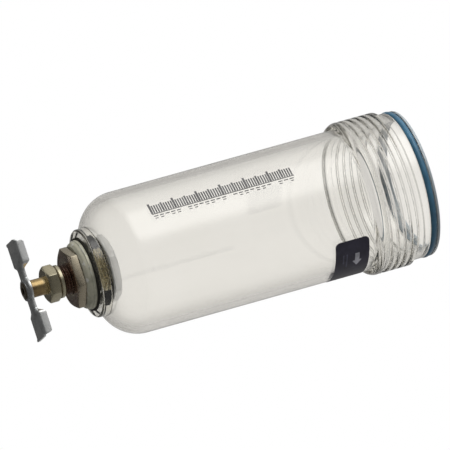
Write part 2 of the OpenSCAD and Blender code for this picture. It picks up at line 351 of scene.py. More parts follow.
# ---------------------------------------------------------------- materials
def metal(name, base, dark, worn, rough=(0.22, 0.42), turned=0.0, grain=0.0, spots=0.35, brushed=None, full=1.0, tone_band=None):
    """Machined or plated metal: blotched tint, painted shade in the hollows, brighter worn edges, fine tool marks.

    tone_band: (z from, z to, colour, share) tints a band along the axis, in millimetres; on the cock's neck it is
    painted shade, on the bushing's shank a painted highlight."""
    m, nt, out = new_material(name)
    p = nt.nodes.new("ShaderNodeBsdfPrincipled")
    nt.links.new(p.outputs[0], out.inputs["Surface"])
    v = coords(nt)
    cloud = noise(nt, v, 170, 5, 0.6)
    fine = noise(nt, v, 1400, 4, 0.6)
    tint = ramp(nt, cloud, [(0.30, dark), (0.52, base), (0.75, tuple(min(1, c * 1.10) for c in base))])
    spot = ramp(nt, noise(nt, v, 620, 6, 0.7, 0.4), [(0.56, (0, 0, 0)), (0.72, (1, 1, 1))])
    tint = mix_colour(nt, maths(nt, "MULTIPLY", spot, spots), tint, tuple(c * 0.45 for c in dark))
    wear_and_hollow_shade = wear_and_hollow_shade_mask(nt)
    # painted shade: darker colour in the hollows, where shade falls
    tint = mix_colour(nt, ramp(nt, wear_and_hollow_shade, [(0.0, (0.75, 0.75, 0.75)), (0.42, (0, 0, 0)), (1.0, (0, 0, 0))]), tint, tuple(c * 0.35 for c in dark))
    tint = mix_colour(nt, ramp(nt, wear_and_hollow_shade, [(0.62, (0, 0, 0)), (0.95, (0.8, 0.8, 0.8))]), tint, worn)
    if tone_band:
        z_a, z_b, band_colour, share = tone_band
        sp = nt.nodes.new("ShaderNodeSeparateXYZ")
        nt.links.new(coords(nt), sp.inputs[0])
        band = maths(nt, "MULTIPLY", remap(nt, sp.outputs[2], 0.0, 1.0, (z_a - 0.15) * MM, (z_a + 0.15) * MM),
                     remap(nt, sp.outputs[2], 1.0, 0.0, (z_b - 0.15) * MM, (z_b + 0.15) * MM))
        tint = mix_colour(nt, maths(nt, "MULTIPLY", band, share), tint, band_colour)
    nt.links.new(tint, p.inputs["Base Color"])
    p.inputs["Metallic"].default_value = full
    r = maths(nt, "ADD", remap(nt, fine, rough[0], rough[1], 0.3, 0.7), maths(nt, "MULTIPLY", spot, 0.25))
    nt.links.new(r, p.inputs["Roughness"])
    nrm = bump(nt, fine, 0.06, 0.00003)
    if turned:
        sep = nt.nodes.new("ShaderNodeSeparateXYZ")
        nt.links.new(v, sep.inputs[0])
        radial = maths(nt, "SQRT", maths(nt, "ADD", maths(nt, "MULTIPLY", sep.outputs[0], sep.outputs[0]), maths(nt, "MULTIPLY", sep.outputs[1], sep.outputs[1])))
        phase = maths(nt, "ADD", maths(nt, "MULTIPLY", radial, 9000.0), maths(nt, "MULTIPLY", sep.outputs[2], 17000.0))
        lines = maths(nt, "SINE", maths(nt, "ADD", phase, maths(nt, "MULTIPLY", cloud, 9.0)))
        nrm = bump(nt, lines, turned * 0.6, 0.00003, nrm)
    if brushed:
        nrm = bump(nt, noise(nt, coords(nt, brushed), 700, 3, 0.5), 0.35, 0.00004, nrm)
    if grain:
        nrm = bump(nt, noise(nt, v, 420, 5, 0.65), grain, 0.00012, nrm)
    nt.links.new(nrm, p.inputs["Normal"])
    return m


def rubber(name, base, rough=0.55, sheen=0.0, coat=0.0):
    m, nt, out = new_material(name)
    p = nt.nodes.new("ShaderNodeBsdfPrincipled")
    nt.links.new(p.outputs[0], out.inputs["Surface"])
    v = coords(nt)
    n1, n2 = noise(nt, v, 130, 4), noise(nt, v, 2600, 3)
    tint = ramp(nt, n1, [(0.3, tuple(c * 0.7 for c in base)), (0.7, tuple(min(1, c * 1.25) for c in base))])
    dust = ramp(nt, noise(nt, v, 900, 6, 0.75), [(0.60, (0, 0, 0)), (0.80, (0.35, 0.35, 0.35))])
    tint = mix_colour(nt, maths(nt, "MULTIPLY", dust, 0.35), tint, (0.35, 0.35, 0.34))
    nt.links.new(tint, p.inputs["Base Color"])
    nt.links.new(remap(nt, n2, rough - 0.08, rough + 0.10, 0.3, 0.7), p.inputs["Roughness"])
    p.inputs["Coat Weight"].default_value = coat
    p.inputs["Coat Roughness"].default_value = 0.18
    nt.links.new(bump(nt, n2, 0.25, 0.00003), p.inputs["Normal"])
    return m


def clear_plastic(name):
    """Clear moulded polycarbonate: refracts, takes a faint warm grey from its thickness, with faint flow lines and rubbed crests."""
    m, nt, out = new_material(name)
    p = node(nt, "ShaderNodeBsdfPrincipled", IOR=1.57)
    p.inputs["Transmission Weight"].default_value = 1.0
    p.inputs["Coat Weight"].default_value = 0.9
    p.inputs["Coat IOR"].default_value = 1.5
    p.inputs["Coat Roughness"].default_value = 0.03
    v = coords(nt)
    cloud = noise(nt, v, 35, 3, 0.5)
    tint = ramp(nt, cloud, [(0.3, (0.975, 0.975, 0.965)), (0.7, (0.995, 0.995, 0.99))])
    nt.links.new(tint, p.inputs["Base Color"])
    fine = noise(nt, v, 900, 5, 0.6)
    haze = ramp(nt, wear_and_hollow_shade_mask(nt, 8.0), [(0.60, (0, 0, 0)), (0.92, (1, 1, 1))])
    r = maths(nt, "ADD", remap(nt, fine, 0.012, 0.045, 0.35, 0.65), maths(nt, "MULTIPLY", haze, 0.10))
    sep = nt.nodes.new("ShaderNodeSeparateXYZ")
    nt.links.new(v, sep.inputs[0])
    rim = remap(nt, sep.outputs[2], 0.0, 1.0, -0.0013, -0.0008)  # the rim is left dull, and painted bluish grey for the seal seen through it
    r = maths(nt, "ADD", r, maths(nt, "MULTIPLY", rim, 0.25))
    # painted reflection: the rim turns partly opaque and bluish grey, standing in for the blue seal seen through it
    nt.links.new(remap(nt, rim, 1.0, 0.30), p.inputs["Transmission Weight"])
    nt.links.new(mix_colour(nt, rim, tint, (0.52, 0.60, 0.66)), p.inputs["Base Color"])
    nt.links.new(r, p.inputs["Roughness"])
    wave = noise(nt, coords(nt, (1, 1, 0.25)), 60, 2, 0.4)
    scratch = noise(nt, coords(nt, (1, 1, 0.06)), 1500, 2, 0.4)
    plain = remap(nt, sep.outputs[2], 1.0, 0.0, -0.034, -0.026)  # the thread and the rim keep a smooth moulded face
    nrm = bump(nt, wave, 0.05, 0.0005)
    nrm.node.inputs["Strength"].default_value = 0.05
    nt.links.new(remap(nt, plain, 0.008, 0.05), nrm.node.inputs["Strength"])
    nrm = bump(nt, scratch, 0.012, 0.00003, nrm)
    nt.links.new(remap(nt, plain, 0.0, 0.012), nrm.node.inputs["Strength"])
    nt.links.new(nrm, p.inputs["Normal"])
    clear = nt.nodes.new("ShaderNodeBsdfTransparent")
    clear.inputs[0].default_value = (0.93, 0.93, 0.92, 1)
    lp = nt.nodes.new("ShaderNodeLightPath")
    mix = nt.nodes.new("ShaderNodeMixShader")
    nt.links.new(lp.outputs["Is Shadow Ray"], mix.inputs[0])
    nt.links.new(p.outputs[0], mix.inputs[1])
    nt.links.new(clear.outputs[0], mix.inputs[2])
    nt.links.new(mix.outputs[0], out.inputs["Surface"])
    vol = nt.nodes.new("ShaderNodeVolumeAbsorption")
    vol.inputs["Color"].default_value = (0.50, 0.46, 0.30, 1)
    vol.inputs["Density"].default_value = 14.0
    nt.links.new(vol.outputs[0], out.inputs["Volume"])
    return m


def film(name, base, rough=0.35):
    m, nt, out = new_material(name)
    p = nt.nodes.new("ShaderNodeBsdfPrincipled")
    nt.links.new(p.outputs[0], out.inputs["Surface"])
    v = coords(nt)
    n1 = noise(nt, v, 220, 5, 0.6)
    tint = ramp(nt, n1, [(0.35, tuple(c * 0.8 for c in base)), (0.65, tuple(min(1, c * 1.3 + 0.004) for c in base))])
    nt.links.new(tint, p.inputs["Base Color"])
    nt.links.new(remap(nt, noise(nt, v, 1800, 4), rough - 0.06, rough + 0.10, 0.3, 0.7), p.inputs["Roughness"])
    nt.links.new(bump(nt, noise(nt, v, 500, 4), 0.15, 0.00003), p.inputs["Normal"])
    return m


M_CLEAR = clear_plastic("clear_plastic")
M_BLUE = rubber("blue_rubber", (0.052, 0.165, 0.275), 0.36, coat=0.40)
M_BLACK = rubber("black_rubber", (0.020, 0.019, 0.014), 0.60)
M_LABEL = film("label_film", (0.030, 0.028, 0.052), 0.38)
M_INK = film("white_ink", (0.50, 0.50, 0.56), 0.5)
M_GREYINK = film("grey_ink", (0.13, 0.13, 0.135), 0.6)
# the bushing's band paints the shank inside the pad light olive: a painted highlight for the shank seen through the
# clear pad
M_BUSH = metal("bushing_brass", (0.39, 0.275, 0.225), (0.17, 0.11, 0.095), (0.60, 0.55, 0.42), (0.20, 0.34), turned=0.12,
               tone_band=(low("flange_washer") + 0.3, high("drain_bushing") + 1, (0.66, 0.60, 0.40), 0.85))
# the cock's band darkens the threaded neck between the hexes: painted shade in that recess, over a reddish tarnish
M_COCK = metal("cock_brass", (0.37, 0.315, 0.205), (0.20, 0.165, 0.10), (0.60, 0.56, 0.42), (0.20, 0.34), turned=0.12,
               tone_band=(high("bowl") - 163.4, high("bowl") - 150.0, (0.17, 0.095, 0.08), 0.85))
M_STEM = metal("stem_brass", (0.45, 0.325, 0.155), (0.20, 0.13, 0.08), (0.66, 0.55, 0.34), (0.18, 0.30), turned=0.20,
               tone_band=(low("stem") - 1, low("t_handle") + 1.25, (0.10, 0.085, 0.075), 0.8))
M_FLANGE = metal("plated_brass", (0.56, 0.55, 0.44), (0.34, 0.34, 0.27), (0.80, 0.80, 0.76), (0.30, 0.46), turned=0.08, full=0.35)
M_NUT = metal("plated_nut", (0.82, 0.83, 0.85), (0.62, 0.63, 0.64), (0.90, 0.90, 0.90), (0.32, 0.48), turned=0.08, full=1.0)
M_HANDLE = metal("handle_steel", (0.80, 0.825, 0.84), (0.52, 0.54, 0.55), (0.90, 0.91, 0.92), (0.26, 0.38), grain=0.14, brushed=(1, 14, 14), full=1.0)
M_STEEL = metal("plain_steel", (0.34, 0.35, 0.36), (0.19, 0.20, 0.21), (0.62, 0.63, 0.63), (0.28, 0.44), turned=0.12, full=0.85)
M_PTFE = film("white_ptfe", (0.78, 0.77, 0.72), 0.45)
M_FIBRE = film("fibre_gasket", (0.40, 0.39, 0.36), 0.7)


# ---------------------------------------------------------------- bowl
def make_bowl():
    seg = 288
    ang = np.arange(seg) * TAU / seg
    bead_h = THR_R - TUBE_R
    bead_c = ((BEAD_W / 2) ** 2 + bead_h ** 2) / (2 * bead_h)

    def bead(z):
        d = abs(z - BEAD_Z)
        if d >= BEAD_W / 2:
            return 0.0
        return THR_R - bead_c + math.sqrt(bead_c ** 2 - d ** 2)

    rings = []
    # mouth, from inside to outside
    for r, z in fillet([(IN_R, -1.5), (IN_R, 0), (ROOT_R, 0), (ROOT_R, -1.5)], [0, 0.35, 0.45, 0], 6)[1:-1]:
        rings.append(circle_ring(r, z, ang))
    # O-ring groove
    g0, g1 = GROOVE_Z + SEAL_T / 2 + 0.1, GROOVE_Z - SEAL_T / 2 - 0.1
    for r, z in fillet([(ROOT_R, -0.8), (ROOT_R, g0), (GROOVE_R, g0), (GROOVE_R, g1), (ROOT_R, g1), (ROOT_R, -7)],
                       [0, 0.12, 0.3, 0.3, 0.12, 0], 4)[1:-1]:
        rings.append(circle_ring(r, z, ang))
    # plain lip, thread, bead and the blend onto the tube
    z_end = BEAD_Z - BEAD_W / 2 - 1.2
    share = ang / TAU
    fill = (THR_ROOT + 0.25 - ROOT_R) / (THR_R - ROOT_R)

    def ridge(u, j):
        """Height share of ridge j at u turns along the thread: broad crest, steep narrow flanks, faded in over the first part of a turn."""
        if not 1 <= j <= THR_N:
            return np.zeros_like(u)
        size = smooth(j - share, 0.0, 0.22)
        h = np.clip(1 - (np.abs(u - j) - 0.29) / 0.36, 0, 1)
        return size * (0.45 * h + 0.55 * h * h * (3 - 2 * h))

    zs = [-4.9, -5.6, -6.3, -6.9] + list(np.arange(-7.2, -24.6, -0.1)) + list(np.arange(-24.6, z_end - 0.01, -0.22))
    for z in zs:
        u = (THR_TOP - z) / PITCH + share
        r = np.full(seg, TUBE_R if z < BEAD_Z else ROOT_R)
        if z > BEAD_Z:
            low_j = np.floor(u)
            h = np.zeros(seg)
            for j in range(int(low_j.min()), int(low_j.max()) + 2):
                near = np.abs(u - j) < 1
                h = np.where(near, np.maximum(h, ridge(u, j)), h)
            # the roots stay filled between two ridges, and down to the bead
            first = smooth(1 - share, 0.0, 0.22)
            between = np.where(u >= 2, 1.0, np.where(u >= 1, first, 0.0))
            h = np.maximum(h, fill * between)
            r = ROOT_R + (THR_R - 0.04 - ROOT_R) * h
        r = np.maximum(r, bead(z))
        if z < BEAD_Z - BEAD_W / 2 + 0.9:  # small radius where the bead meets the tube
            t = smooth(z, BEAD_Z - BEAD_W / 2 - 1.0, BEAD_Z - BEAD_W / 2 + 0.9)
            r = TUBE_R + (np.maximum(r, TUBE_R) - TUBE_R) * (0.25 + 0.75 * t) * (1 if bead(z) else 0) + 0.28 * t * (1 - t)
        rings.append(np.stack([r * np.cos(ang), r * np.sin(ang), np.full(seg, z)], 1))
    # tube
    for z in np.linspace(z_end - 1.0, DOME_Z, 26):
        rings.append(circle_ring(TUBE_R, z, ang))
    # rounded end, then the pad
    cx = TUBE_R - DOME_R
    pad_meet = DOME_Z - math.sqrt(DOME_R ** 2 - (PAD_R + 0.5 - cx) ** 2)
    a_end = math.acos((PAD_R + 0.5 - cx) / DOME_R)
    for a in np.linspace(0, a_end, 26)[1:]:
        rings.append(circle_ring(cx + DOME_R * math.cos(a), DOME_Z - DOME_R * math.sin(a), ang))
    hole = SHANK_R + 0.15
    for r, z in fillet([(PAD_R + 0.5, pad_meet), (PAD_R, pad_meet - 0.15), (PAD_R, PAD_Z), (hole, PAD_Z), (hole, FLOOR_Z + WALL),
                        (cx, FLOOR_Z + WALL)], [0, 0.3, 0.9, 0.25, 0.2, 0], 5)[1:-1]:
        rings.append(circle_ring(r, z, ang))
    for r in np.linspace(hole + 1.5, cx, 5):
        rings.append(circle_ring(r, FLOOR_Z + WALL, ang))
    for a in np.linspace(math.pi / 2, 0, 24)[1:]:
        rings.append(circle_ring(cx + (DOME_R - WALL) * math.cos(a), DOME_Z - (DOME_R - WALL) * math.sin(a), ang))
    for z in np.linspace(DOME_Z, -1.2, 34)[1:]:
        rings.append(circle_ring(IN_R, z, ang))
    v, f = stitch(rings, loop=True)
    return finish_mesh("clear_bowl", v, f, M_CLEAR, "root", ["bowl"], sharp=40)


make_bowl()


def make_o_ring():
    """Moulded ring with its faint parting line round the outside and inside."""
    n, seg, sec = 40, 256, SEAL_T / 2
    ang = np.arange(seg) * TAU / seg
    rc, zc = GROOVE_R + 0.02 + sec, GROOVE_Z
    rings = []
    for k in range(n):
        t = k * TAU / n
        flash = 0.02 * max(0.0, 1 - abs(math.sin(t)) / 0.10) * (1 if math.cos(t) < 0 else 0.6)
        s = sec - 0.012 + flash * 0.5
        rings.append(circle_ring(rc + s * math.cos(t), zc + s * math.sin(t), ang))
    v, f = stitch(rings, loop=True)
    finish_mesh("mouth_o_ring", v, f, M_BLUE, "root", ["bowl_o_ring"], sharp=60)


make_o_ring()


# ---------------------------------------------------------------- printed film and marks, wrapped on the tube
def wrap(name, outlines, r0, r1, mat, nodes=(), k=10, sharp=40.0):
    """Thin closed patches on the tube. An outline is points (arc length from the front line, towards +X, and z) in mm, with a centre."""
    verts, faces = [], []
    for outline, centre in outlines:
        o, c = np.asarray(outline, float), np.asarray(centre, float)
        rings = []

        def place(p, r):
            a = p[:, 0] / TUBE_R
            return np.stack([r * np.sin(a), -r * np.cos(a), p[:, 1]], 1)

        rings.append(place(c[None], r1))
        for s in range(1, k + 1):
            rings.append(place(c + (o - c) * (s / k), r1))
        for s in range(k, 0, -1):
            rings.append(place(c + (o - c) * (s / k), r0))
        rings.append(place(c[None], r0))
        v, f = stitch(rings)
        base = len(verts)
        verts += v
        faces += [tuple(i + base for i in q) for q in f]
    return finish_mesh(name, verts, faces, mat, "root", nodes, sharp, clean=False)


def dense(points, step):
    out = []
    for i, p in enumerate(points):
        q = points[(i + 1) % len(points)]
        d = math.hypot(q[0] - p[0], q[1] - p[1])
        n = max(1, int(math.ceil(d / step)))
        out += [(p[0] + (q[0] - p[0]) * s / n, p[1] + (q[1] - p[1]) * s / n) for s in range(n)]
    return out


def make_label():
    z0, z1 = low("arrow_label"), high("arrow_label")
    s0, s1 = TUBE_R * math.radians(32), TUBE_R * math.radians(95)
    box = fillet([(s0, z0), (s1, z0), (s1, z1), (s0, z1)], 2.2, 8)
    wrap("label_film_patch", [(dense([tuple(p) for p in box], 0.8), ((s0 + s1) / 2, (z0 + z1) / 2))],
         TUBE_R + 0.02, TUBE_R + 0.15, M_LABEL, ["arrow_label"], k=26)
    # plain arrow, round the bowl
    a = lambda deg: TUBE_R * math.radians(deg)
    zc = z1 - 5.6
    arrow = [(a(46), zc - 1.0), (a(54.0), zc - 1.0), (a(54.0), zc - 2.2), (a(60.5), zc), (a(54.0), zc + 2.2),
             (a(54.0), zc + 1.0), (a(46), zc + 1.0)]
    wrap("label_arrow_print", [(dense([tuple(p) for p in fillet(arrow, 0.15, 3)], 0.5), (a(54.8), zc))],
         TUBE_R + 0.16, TUBE_R + 0.19, M_INK, k=8)
    # two plain bars under the arrow
    bars = []
    for z, d0, d1 in ((zc - 4.8, 45, 60), (zc - 6.4, 45, 55)):
        p = [(a(d0), z - 0.28), (a(d1), z - 0.28), (a(d1), z + 0.28), (a(d0), z + 0.28)]
        bars.append((dense(p, 0.6), (a((d0 + d1) / 2), z)))
    wrap("label_bar_print", bars, TUBE_R + 0.16, TUBE_R + 0.185, film("violet_ink", (0.10, 0.10, 0.15), 0.5), k=4)


make_label()


def make_level_marks():
    """A plain graduated scale along the tube, in thin grey ink."""
    marks = []

    def bar(s0, s1, z0, z1):
        marks.append((dense([(s0, z0), (s1, z0), (s1, z1), (s0, z1)], 0.9), ((s0 + s1) / 2, (z0 + z1) / 2)))

    a = lambda deg: -TUBE_R * math.radians(deg)
    top, base = a(43.6), a(33.2)
    z, i = -123.6, 0
    while z < -58.2:
        if i % 10 == 0:
            bar(top, base, z - 0.50, z + 0.50)
        elif i % 5 == 0:
            bar(base - 4.9, base, z - 0.42, z + 0.42)
        else:
            bar(base - 4.3, base, z - 0.34, z + 0.34)
        z += 1.1
        i += 1
    bar(base + 0.08, base + 0.52, -124.0, -58.0)
    for k in range(25):
        z = -123.4 + k * 2.62
        if k % 8 != 5:
            bar(base + 1.25, base + 1.75, z, z + 1.9)
            if k % 3 != 2:
                bar(base + 2.4, base + 2.8, z + 0.2, z + 1.6)
    wrap("level_marks", marks, TUBE_R + 0.012, TUBE_R + 0.035, M_GREYINK, k=2)


make_level_marks()


# ---------------------------------------------------------------- drain fittings
def make_gasket():
    z0, z1, r = low("outer_gasket"), high("outer_gasket") - 0.01, high("outer_gasket", 0)
    h = z1 - z0
    lathe("rubber_gasket", [(SHANK_R + 0.1, z0), (r - 0.16, z0), (r - 0.01, z0 + h * 0.5), (r - 0.16, z1), (SHANK_R + 0.1, z1)],
          [0.1, 0.2, 0.35, 0.2, 0.1], M_BLACK, "root", ["outer_gasket"], seg=160)


def make_flange():
    z0, z1, r = low("flange_washer"), high("flange_washer"), high("flange_washer", 0)
    lathe("round_flange", [(SHANK_R + 0.1, z0 + 0.01), (13.3, z0 + 0.01), (14.5, z0 + 1.1), (r - 0.42, z0 + 2.2), (r, z0 + 2.55), (r, z1 - 0.25),
                           (r - 0.28, z1 - 0.01), (SHANK_R + 0.1, z1 - 0.01)],
          [0.1, 0.4, 1.5, 0.25, 0.2, 0.1, 0.1, 0.1], M_FLANGE, "root", ["flange_washer"], seg=160, n=5)


def make_bushing():
    z0, z1, top = low("drain_bushing"), high("flange_washer") - 4.0, high("drain_bushing")
    rings, ang = hex_rings(23.8, -10, z0, z1, True, False, corner=0.45, slope=0.42, crown=0.22)
    nr = 6.85
    inner = [circle_ring(nr, z0 + 1.2, ang), circle_ring(nr + 0.05, z0 + 0.7, ang), circle_ring(nr + 0.75, z0 + 0.06, ang),
             circle_ring(nr + 0.95, z0, ang)]
    # a fine turned step on the face
    face = [circle_ring(r, z, ang) for r, z in ((9.6, z0), (9.7, z0 + 0.04), (10.0, z0 + 0.04), (10.1, z0))]
    shank = [circle_ring(SHANK_R - 0.1, z1, ang), circle_ring(SHANK_R - 0.5, z1 + 0.2, ang)]
    pitch, t_top, n_t = 1.588, top - 0.3, 12
    for z in np.arange(z1 + 0.4, top - 0.35, 0.16):
        h = thread_height(z, ang, t_top, pitch, n_t, crest=0.08, flank=0.38)
        r = SHANK_R - 0.75 + 0.74 * h
        shank.append(np.stack([r * np.cos(ang), r * np.sin(ang), np.full(len(ang), z)], 1))
    shank += [circle_ring(SHANK_R - 0.8, top - 0.2, ang), circle_ring(SHANK_R - 1.1, top, ang), circle_ring(5.3, top, ang),
              circle_ring(5.0, top - 0.3, ang)]
    core = [circle_ring(5.0, z, ang) for z in (top - 4, top - 8, top - 10.0)] + [circle_ring(6.58, top - 10.05, ang)]
    v, f = stitch(inner + face + rings + shank + core, loop=True)
    finish_mesh("hex_bushing", v, f, M_BUSH, "root", ["drain_bushing"], sharp=28)


def make_inside_stack():
    z0, z1 = low("inner_gasket"), high("inner_gasket") - 0.02
    lathe("fibre_ring", [(SHANK_R + 0.12, z0), (high("inner_gasket", 0), z0), (high("inner_gasket", 0), z1), (SHANK_R + 0.12, z1)], 0.15,
          M_FIBRE, "root", ["inner_gasket"], seg=96)
    z0, z1, r = low("lock_washer"), high("lock_washer") - 0.02, high("lock_washer", 0)
    lathe("steel_washer", [(SHANK_R + 0.12, z0), (r, z0), (r, z1), (SHANK_R + 0.12, z1)], 0.16, M_STEEL, "root",
          ["lock_washer"], seg=96)
    z0, z1 = low("lock_nut"), high("lock_nut")
    rings, ang = hex_rings(25.4, 14, z0, z1, False, True, corner=0.5)
    inner = [circle_ring(SHANK_R + 0.9, z1, ang), circle_ring(SHANK_R + 0.08, z1 - 0.7, ang), circle_ring(SHANK_R + 0.08, z0 + 0.6, ang),
             circle_ring(SHANK_R + 0.8, z0, ang)]
    v, f = stitch(rings + inner, loop=True)
    finish_mesh("hex_lock_nut", v, f, M_NUT, "root", ["lock_nut"], sharp=28)


def make_cock():
    z0, top = low("cock_body"), high("cock_body")
    z1 = z0 + 5.3
    rings, ang = hex_rings(14.3, 6, z0, z1, True, True, corner=0.35, crown=0.08)
    bore = 3.9
    inner = [circle_ring(bore, z0 + 3.0, ang), circle_ring(bore, z0 + 0.45, ang), circle_ring(bore + 0.4, z0 + 0.05, ang),
             circle_ring(bore + 0.5, z0, ang)]
    neck_r = 6.95
    end = z1 + 1.9  # plain collar up to here
    neck = [circle_ring(neck_r + 0.22, z1 - 0.005, ang), circle_ring(neck_r + 0.16, z1 + 0.12, ang), circle_ring(neck_r + 0.16, z1 + 0.30, ang),
            circle_ring(neck_r + 0.30, z1 + 0.42, ang), circle_ring(neck_r + 0.30, end - 0.32, ang), circle_ring(neck_r + 0.02, end, ang),
            circle_ring(neck_r - 0.6, end + 0.03, ang)]
    pitch, n_t = 1.411, 14
    for z in np.arange(end + 0.15, top - 0.5, 0.13):
        full = neck_r - (z - z1) / 32 - 0.01
        h = thread_height(z, ang, top - 0.35, pitch, n_t, crest=0.06, flank=0.40)
        h = h * smooth(z, end, end + 0.9)
        r = full - 0.62 + 0.61 * h
        neck.append(np.stack([r * np.cos(ang), r * np.sin(ang), np.full(len(ang), z)], 1))
    room = 4.9
    neck += [circle_ring(6.0, top - 0.3, ang), circle_ring(5.75, top, ang), circle_ring(room + 0.2, top, ang), circle_ring(room, top - 0.2, ang),
             circle_ring(room, top - 11.4, ang), circle_ring(bore, top - 11.42, ang)]
    v, f = stitch(inner + rings + neck, loop=True)
    finish_mesh("cock_hex_body", v, f, M_COCK, "root", ["cock_body"], sharp=28)


def make_stem():
    out, top = low("stem"), high("stem")
    web = low("t_handle") + 1.2
    prof = [(1.5, out + 0.35), (1.85, out), (3.2, out), (3.62, out + 0.25), (3.6, out + 0.46), (2.9, out + 0.50), (2.9, web - 0.02), (3.82, web + 0.02),
            (3.85, web + 0.25)]
    seg = 96
    ang = np.arange(seg) * TAU / seg
    rings = [circle_ring(r, z, ang) for r, z in prof]
    ring_z = low("cock_body") + 2.6
    for z in (-177, -175, -173, -171.5, ring_z - 1.3):
        rings.append(circle_ring(3.85, z, ang))
    rings += [circle_ring(3.75, ring_z - 1.26, ang), circle_ring(2.9, ring_z - 1.24, ang), circle_ring(2.9, ring_z + 0.62, ang),
              circle_ring(3.75, ring_z + 0.65, ang), circle_ring(3.85, ring_z + 0.75, ang)]
    room_z = high("cock_body") - 11.4
    for z in np.arange(ring_z + 0.9, room_z - 0.3, 0.12):
        h = thread_height(z, ang, room_z - 0.2, 1.058, 6, crest=0.06, flank=0.4)
        r = 3.85 - 0.5 + 0.5 * h
        rings.append(np.stack([r * np.cos(ang), r * np.sin(ang), np.full(seg, z)], 1))
    col = low("stem_thrust_ring") + 0.42
    rings += [circle_ring(3.4, room_z - 0.1, ang), circle_ring(3.4, col - 0.05, ang), circle_ring(4.5, col, ang), circle_ring(4.58, col + 0.1, ang), circle_ring(4.58, col + 0.9, ang),
              circle_ring(4.5, col + 0.98, ang), circle_ring(3.25, col + 1.0, ang), circle_ring(3.18, col + 1.2, ang), circle_ring(3.18, top - 0.3, ang),
              circle_ring(2.9, top - 0.01, ang), circle_ring(0.97, top - 0.01, ang), circle_ring(0.96, top - 0.2, ang), circle_ring(0.96, top - 2.3, ang),
              circle_ring(0.0, top - 2.6, ang)]
    v, f = stitch(rings)
    passage = [circle_ring(1.5, out + 0.35, ang)] + [circle_ring(1.5, z, ang) for z in (-177, -172, -166, top - 4.3)] + [circle_ring(0.0, top - 3.5, ang)]
    v2, f2 = stitch(passage)
    base = len(v)
    v += v2
    f += [tuple(i + base for i in q) for q in f2]
    finish_mesh("valve_stem", v, f, M_STEM, "stem_group", ["stem"], sharp=28)


def make_handle_washer():
    z0, z1, r = low("handle_washer"), high("handle_washer"), high("handle_washer", 0)
    lathe("round_handle_washer", [(2.95, z0), (r - 0.1, z0), (r, z0 + 0.2), (r, z1 - 0.01), (2.95, z1 - 0.01)], [0.05, 0.12, 0.1, 0.05, 0.05],
          M_STEEL, "stem_group", ["handle_washer"], seg=72)


